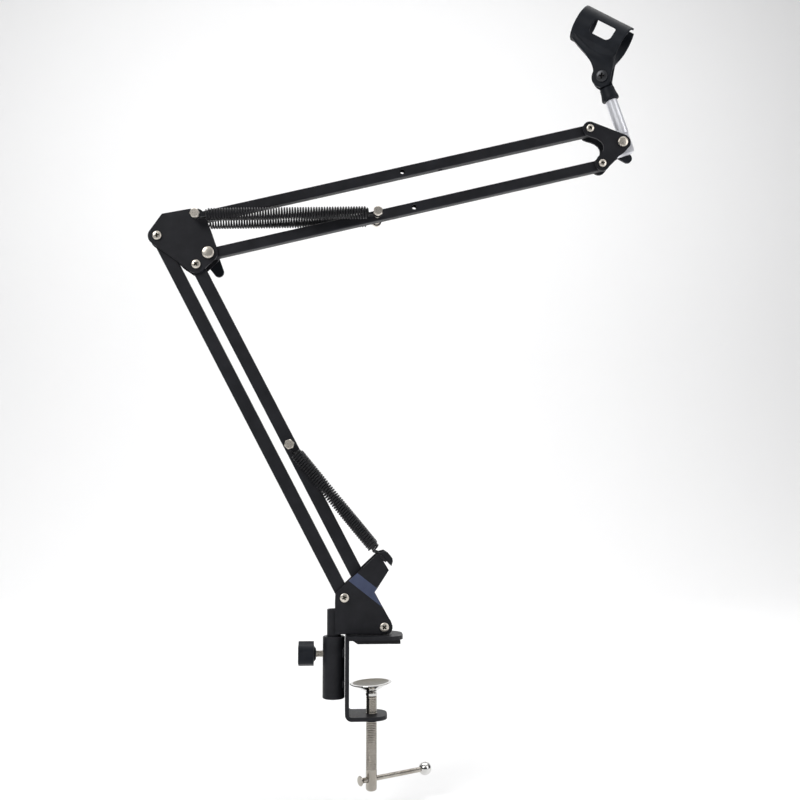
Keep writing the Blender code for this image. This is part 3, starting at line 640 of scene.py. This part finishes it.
def spring(name, start, end, y, last_coil, hook_end):
    points = coil_points(start, end, y, COIL_INSET, last_coil, hook_end)
    obj = mesh_object(name + "_shape", wire_mesh(name, points, WIRE))
    obj.data.materials.clear()
    obj.data.materials.append(SPRING)
    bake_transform(obj)
    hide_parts(name)


LOWER_SPRING_Y, UPPER_SPRING_Y = 13.0, 15.0
for place, side in (("front", -1), ("rear", 1)):
    spring("lower_spring_" + place, LOWER_BOLT, HOOK_NOTCH, LOWER_SPRING_Y * side, HOOK_INSET, True)
    spring("upper_spring_" + place, ELBOW_HEX, UPPER_BOLT, UPPER_SPRING_Y * side, COIL_INSET, False)

# ---------------------------------------------------------------- clamp screw, foot and tommy bar
SCREW_TOP, SCREW_BOTTOM, NECK_BOTTOM, THREAD_END = -41.1, -131.4, -48.3, -112.0
SCREW_RADIUS, SCREW_NECK, SCREW_ROOT, SCREW_PITCH = 5.0, 3.8, 4.62, 1.5
screw = [(0, SCREW_TOP), (3.3, SCREW_TOP - 0.3), (SCREW_NECK, SCREW_TOP - 1.1), (SCREW_NECK, NECK_BOTTOM),
         (4.7, NECK_BOTTOM - 0.3), (SCREW_RADIUS, NECK_BOTTOM - 0.7)]
height = NECK_BOTTOM - 1.3
while height > THREAD_END:
    screw += [(SCREW_RADIUS, height), (SCREW_RADIUS, height - 0.35), (SCREW_ROOT, height - 0.75),
              (SCREW_ROOT, height - 1.0)]
    height -= SCREW_PITCH
screw += [(SCREW_RADIUS, THREAD_END - 0.6), (SCREW_RADIUS, SCREW_BOTTOM + 2.2), (4.5, SCREW_BOTTOM + 0.9),
          (3.4, SCREW_BOTTOM + 0.15), (2.2, SCREW_BOTTOM), (0, SCREW_BOTTOM)]
clamp_screw = mesh_object("clamp_screw_shape", lathe(screw, Matrix.Identity(4), 56))
tommy_pose = at(0, 0, TOMMY_Z) @ Matrix.Rotation(math.radians(TOMMY_YAW), 4, "Z") @ SIDE
tommy_hole = lathe([(0, 8), (TOMMY_HOLE, 8), (TOMMY_HOLE, -8), (0, -8)], tommy_pose, 40)
combined(clamp_screw, tommy_hole, "DIFFERENCE")
tidy(clamp_screw.data)
done(clamp_screw, STEEL, "clamp_screw", "nickel", "clamp_screw")
done(mesh_object("foot_collar_shape", lathe(
    [(5.1, -45.2), (5.4, -45.5), (5.4, -47.7), (5.1, -48.0), (4.1, -48.0), (4.1, -45.2)],
    Matrix.Identity(4), 56, ring=True)), CHROME, "clamp_foot", "chrome", "foot_collar")

DISC_LEAN = -3.6
DISC = at(-0.75, 0, -36.0) @ Matrix.Rotation(math.radians(DISC_LEAN), 4, "Y")
dish = [(0, -1.6), (4, -1.58), (7, -1.45), (10, -1.15), (13, -0.70), (16.0, -0.08), (16.4, 0), (18.3, 0),
        (18.8, -0.12), (19.0, -0.45), (18.8, -0.8), (17.6, -1.5), (14.0, -3.4), (11.0, -5.0),
        (8.6, -6.2), (7.2, -6.9), (6.2, -7.4), (5.8, -7.8), (5.7, -8.1), (5.5, -8.3), (4.4, -8.3),
        (4.4, -4.5), (0, -4.5)]
disc = done(mesh_object("pressure_disc_shape", lathe(dish, DISC, 96)), CHROME, "foot_disc", "chrome",
            "pressure_disc")
disc.data.materials.append(FOOT_FACE)
LINING_RADIUS, LINING_DEPTH = 16.3, 1.7
top_normal = (DISC.to_3x3() @ Vector((0, 0, 1))).normalized()
for face in disc.data.polygons:
    local = DISC.inverted() @ face.center
    in_dish = local.z > -LINING_DEPTH * MM and local.xy.length < LINING_RADIUS * MM
    if in_dish and face.normal.dot(top_normal) > 0.5:
        face.material_index = 1

BAR_RADIUS, BAR_END, BALL_RADIUS, BALL_PLACE = 2.3, 53.3, 6.0, 59.6
bar = [(0, BAR_END), (BAR_RADIUS, BAR_END), (BAR_RADIUS, -7.6), (2.45, -8.8), (2.9, -9.9), (3.7, -10.9),
       (4.45, -11.5), (4.5, -11.8), (4.2, -12.2), (3.4, -12.4), (0, -12.4)]
done(mesh_object("tommy_bar_shape", lathe(bar, tommy_pose, 48)), STEEL, "tommy", "nickel", "tommy_bar")
ball = [(BALL_RADIUS * math.sin(a), BALL_PLACE + BALL_RADIUS * math.cos(a))
        for a in (math.pi * i / 32 for i in range(31))]
ball += [(2.7, BALL_PLACE - BALL_RADIUS * math.cos(math.asin(2.7 / BALL_RADIUS))), (2.55, 54.6), (0, 54.6)]
done(mesh_object("tommy_ball_shape", lathe(ball, tommy_pose, 64)), CHROME, "tommy", "chrome", "tommy_ball")

# ---------------------------------------------------------------- thumb screw
thumb_pose = at(POST_X, 0, THUMB_Z) @ SIDE
done(mesh_object("thumb_shank_shape", threaded(3.0, -24.0, -6.6, 1.0, thumb_pose)), NICKEL, "thumb_slide",
     "nickel", "thumb_shank")
LOBES, LOBE_PLACE, LOBE_RADIUS = 5, 6.6, 4.75
star = []
for lobe in range(LOBES):
    facing = 360 / LOBES * lobe
    star += arc(polar((0, 0), LOBE_PLACE, facing), LOBE_RADIUS, facing - 60, facing + 60, 14)
knob = mesh_object("thumb_knob_shape", slab(star, -31.9, -18.0, thumb_pose))
hub = lathe([(0, -15.9), (4.9, -15.9), (5.5, -16.6), (8.0, -18.6), (0, -19.5)], thumb_pose, 48)
combined(knob, hub, "UNION")
combined(knob, lathe([(0, -30.9), (6.0, -31.2), (6.6, -33), (0, -33)], thumb_pose, 48), "DIFFERENCE")
cast(knob, 0.4, 5)
combined(knob, lathe([(0, -12), (3.3, -12), (3.3, -24.5), (0, -24.5)], thumb_pose, 40), "DIFFERENCE")
tidy(knob.data, 50)
done(knob, PLASTIC, "thumb_knob", "black_plastic", "thumb_knob")

# ---------------------------------------------------------------- rod, adaptor and clip
PIVOT_BORE = 2.8


def pivot_hole(pose, reach):
    """A cutter for the pivot's bore, this far to each side."""
    return lathe([(0, reach), (PIVOT_BORE, reach), (PIVOT_BORE, -reach), (0, -reach)], pose @ FRONT, 40)


LEAN = Matrix.Rotation(math.radians(90 - ROD_ANGLE), 4, "Y")
ROD = at(ROD_PIVOT[0], 0, ROD_PIVOT[1]) @ LEAN
AXIS = ROD @ at(ROD_OFFSET, 0, 0)
ROD_RADIUS, ROD_TOP, ROD_FOOT, ROD_THREAD = 5.65, 43.9, 9.0, 4.2
rod_shape = mesh_object("mic_rod_shape", lathe([
    (0, ROD_TOP), (ROD_RADIUS - 0.3, ROD_TOP), (ROD_RADIUS, ROD_TOP - 0.3), (ROD_RADIUS, ROD_FOOT),
    (0, ROD_FOOT)], AXIS, 64))
tongue = [(-6.5, -9.9), (-5.7, -10.7), (8.7, -10.7), (9.5, -9.9), (9.5, 13), (-1.5, 13), (-6.5, 8)]
combined(rod_shape, slab(tongue, -4.6, 4.6, ROD @ FRONT), "UNION")
thread = [(0, 53.6), (3.4, 53.6), (ROD_THREAD, 52.8)]
for turn in range(9):
    thread += [(ROD_THREAD, 52.4 - turn), (ROD_THREAD - 0.4, 51.9 - turn)]
combined(rod_shape, lathe(thread + [(ROD_THREAD, 43.2), (0, 43.2)], AXIS, 48), "UNION")
combined(rod_shape, pivot_hole(ROD, 10), "DIFFERENCE")
tidy(rod_shape.data)
bevelled(rod_shape, 0.25, 2)
done(rod_shape, ALUMINIUM, "mic_rod", "aluminium", "mic_rod")

CLIP_TURN, CLIP_DROP = -24.4, 32.6
SPIN = Matrix.Rotation(math.radians(CLIP_TURN), 4, LEAN.to_3x3() @ Vector((0, 0, 1)))
HOLD = at(CLIP_PIVOT[0], 0, CLIP_PIVOT[1]) @ SPIN
adaptor = mesh_object("clip_adaptor_shape", lathe(
    [(0, -10.8), (6.4, -10.8), (6.9, -11.4), (7.0, -13.5), (7.3, -16.5), (8.0, -19.5), (8.3, -21),
     (8.3, -22.6), (7.8, -23.1), (4.5, -23.1), (4.5, -13.5), (0, -13.5)], HOLD @ LEAN, 64))
tongue = [(-6.3, -12.0), *arc((0, 0), 6.8, 195, -15, 28), (6.3, -12.0)]
combined(adaptor, slab(tongue, -3, 3, HOLD @ LEAN @ FRONT), "UNION")
cast(adaptor, 0.4, 3)
combined(adaptor, pivot_hole(HOLD @ LEAN, 9), "DIFFERENCE")
tidy(adaptor.data, 50)
done(adaptor, PLASTIC, "clip_adaptor", "black_plastic", "clip_adaptor")

CLIP = HOLD @ Matrix.Rotation(math.radians(CLIP_DROP), 4, "Y")
CLIP_FACE = 7.8
pan_screw("clip_screw", CLIP, "clip_adaptor", radius=5.4, height=2.4, face=CLIP_FACE, rear=11.6, shank=2.5,
          turn=28, look=BLACK_SCREW, slot="black_screw", crown=0.35, cross=0.6)
clip_nut = mesh_object("clip_nut_shape",
                       hex_mesh(4.62, CLIP_FACE, 11.0, CLIP @ REAR, 8, both=True, bore=PIVOT_BORE))
done(clip_nut, BLACK_SCREW, "clip_adaptor", "black_screw", "clip_nut")

CLIP_LEFT, CLIP_RIGHT, CLIP_Z, OUTER, BORE = -48.4, 2.2, 34.9, 17.6, 15.7
NECK = [(-47.4, 27), (-47.6, 22), (-46.0, 18.6), (-41.0, 16.4), (-34, 14.0), (-27, 11.6), (-21, 9.0),
        (-16, 6.0), (-12.6, 3.2), (-10.8, 1.0), *arc((0, 0), 10.2, 180, 340, 26), (8.8, 1.0), (6.6, 6.0),
        (4.6, 11.0), (2.8, 15.5), (1.8, 20.0), (1.8, 27)]
NECK_HALF, NECK_FLARE, NECK_SLICES = 7.6, 5.6, 11
# The neck spreads sideways into the tube through a stack of ever wider, ever shallower slices.
slices = [slab(NECK, -NECK_HALF, NECK_HALF, CLIP @ FRONT)]
for step in range(1, NECK_SLICES + 1):
    share = step / NECK_SLICES
    half = NECK_HALF + NECK_FLARE * (1 - math.cos(share * math.pi / 2))
    rise = 7.0 + 9.0 * share
    slice_loop = [(-47.3 + 0.5 * share, 27), (-47.2 + 0.6 * share, 21.5 + 2 * share),
                  (-40 + 2 * share, 15.6 + 4.5 * share), (-27 + 3 * share, 11.0 + 5.5 * share),
                  (-16 + 4 * share, 6.0 + rise * 0.6), (-9 + 4 * share, 1.5 + rise),
                  (2.6 - share, 4.0 + rise), (1.8, 14.5 + 5 * share), (1.8, 27)]
    slices.append(slab(slice_loop, -half, half, CLIP @ FRONT))
clip = cast(joined("mic_clip_shape", slices), 0.6, 5)
bore_pose = CLIP @ at(0, 0, CLIP_Z) @ SIDE
middle = (OUTER + BORE) / 2
combined(clip, lathe([(0, 9), (middle, 9), (middle, -52), (0, -52)], bore_pose, 96), "DIFFERENCE")
SLIT_FROM, SLIT_TO = 62, 92
tube_loop = [*arc((0, 0), OUTER, SLIT_TO, SLIT_FROM + 360, 90),
             *arc((0, 0), BORE, SLIT_FROM + 360, SLIT_TO, 90)]
combined(clip, slab(tube_loop, CLIP_LEFT, CLIP_RIGHT, bore_pose), "UNION")
combined(clip, block((-14, -3.3, -15), (14, 3.3, 12), CLIP), "DIFFERENCE")
window = [(-31.5, 30.3), (-30.6, 29.0), (-17.0, 29.0), *arc((-14.5, 34.5), 5.5, 270, 360, 10), (-9.0, 41.0),
          (-10.0, 42.0), (-30, 42.0), (-31.5, 40.5)]
combined(clip, slab(window, 8, 22, CLIP @ FRONT), "DIFFERENCE")
combined(clip, block((-37, 8, 34.0), (-6.5, 22, 48.0), CLIP), "DIFFERENCE")
cast(clip, 0.5, 5)
combined(clip, pivot_hole(CLIP, 12), "DIFFERENCE")
tidy(clip.data, 50)
done(clip, PLASTIC, "mic_clip", "black_plastic", "mic_clip")

# ---------------------------------------------------------------- floor, backdrop and light
FLOOR_Z, FLOOR_FRONT, FLOOR_BACK, SWEEP_RADIUS, WALL_TOP, FLOOR_HALF = -0.150, -3.0, 1.6, 0.9, 4.0, 5.0
profile = [(FLOOR_FRONT, FLOOR_Z), (FLOOR_BACK, FLOOR_Z)]
profile += [(FLOOR_BACK + SWEEP_RADIUS * math.sin(a), FLOOR_Z + SWEEP_RADIUS * (1 - math.cos(a)))
            for a in (math.pi / 2 * i / 16 for i in range(1, 17))]
profile.append((FLOOR_BACK + SWEEP_RADIUS, WALL_TOP))
verts = [(x, y, z) for y, z in profile for x in (-FLOOR_HALF, FLOOR_HALF)]
faces = [(2 * i, 2 * i + 1, 2 * i + 3, 2 * i + 2) for i in range(len(profile) - 1)]
sweep = bpy.data.meshes.new("floor_sweep")
sweep.from_pydata(verts, [], faces)
floor = mesh_object("floor_sweep", tidy(sweep, 60))
pale = bpy.data.materials.new("pale_floor")
pale.use_nodes = True
pale.node_tree.nodes["Principled BSDF"].inputs["Base Color"].default_value = (0.90, 0.90, 0.90, 1.0)
pale.node_tree.nodes["Principled BSDF"].inputs["Roughness"].default_value = 0.9
floor.data.materials.append(pale)

SKY_STRENGTH = 0.62
world = bpy.data.worlds.new("studio")
world.use_nodes = True
sky = world.node_tree
where = sky.nodes.new("ShaderNodeTexCoord")
split = sky.nodes.new("ShaderNodeSeparateXYZ")
sky.links.new(where.outputs["Generated"], split.inputs[0])
grade = ramp(sky, split.outputs["Z"], [(0.42, (0.10, 0.10, 0.11)), (0.78, (1.0, 1.0, 1.0))])
sky.links.new(grade, sky.nodes["Background"].inputs["Color"])
sky.nodes["Background"].inputs["Strength"].default_value = SKY_STRENGTH
bpy.context.scene.world = world
bpy.context.scene.view_settings.view_transform = "Standard"


def softbox(name, place, target, size, power):
    """A rectangular area light, in metres and watts."""
    data = bpy.data.lights.new(name, "AREA")
    data.shape, data.size, data.size_y, data.energy = "RECTANGLE", size[0], size[1], power
    lamp = link(bpy.data.objects.new(name, data))
    lamp.location = place
    lamp.rotation_euler = (Vector(target) - Vector(place)).to_track_quat("-Z", "Y").to_euler()


softbox("key", (-1.1, -1.3, 1.3), (0.0, 0.0, 0.25), (0.9, 0.9), 17.0)
softbox("fill", (1.3, -1.0, 0.7), (0.0, 0.0, 0.25), (0.8, 1.2), 7.0)
softbox("top", (0.1, 0.1, 1.7), (0.0, 0.0, 0.2), (1.2, 0.8), 6.0)
softbox("backdrop", (0.0, 0.6, 1.9), (0.0, 2.4, 0.4), (2.6, 0.6), 38.0)

bpy.context.view_layer.update()
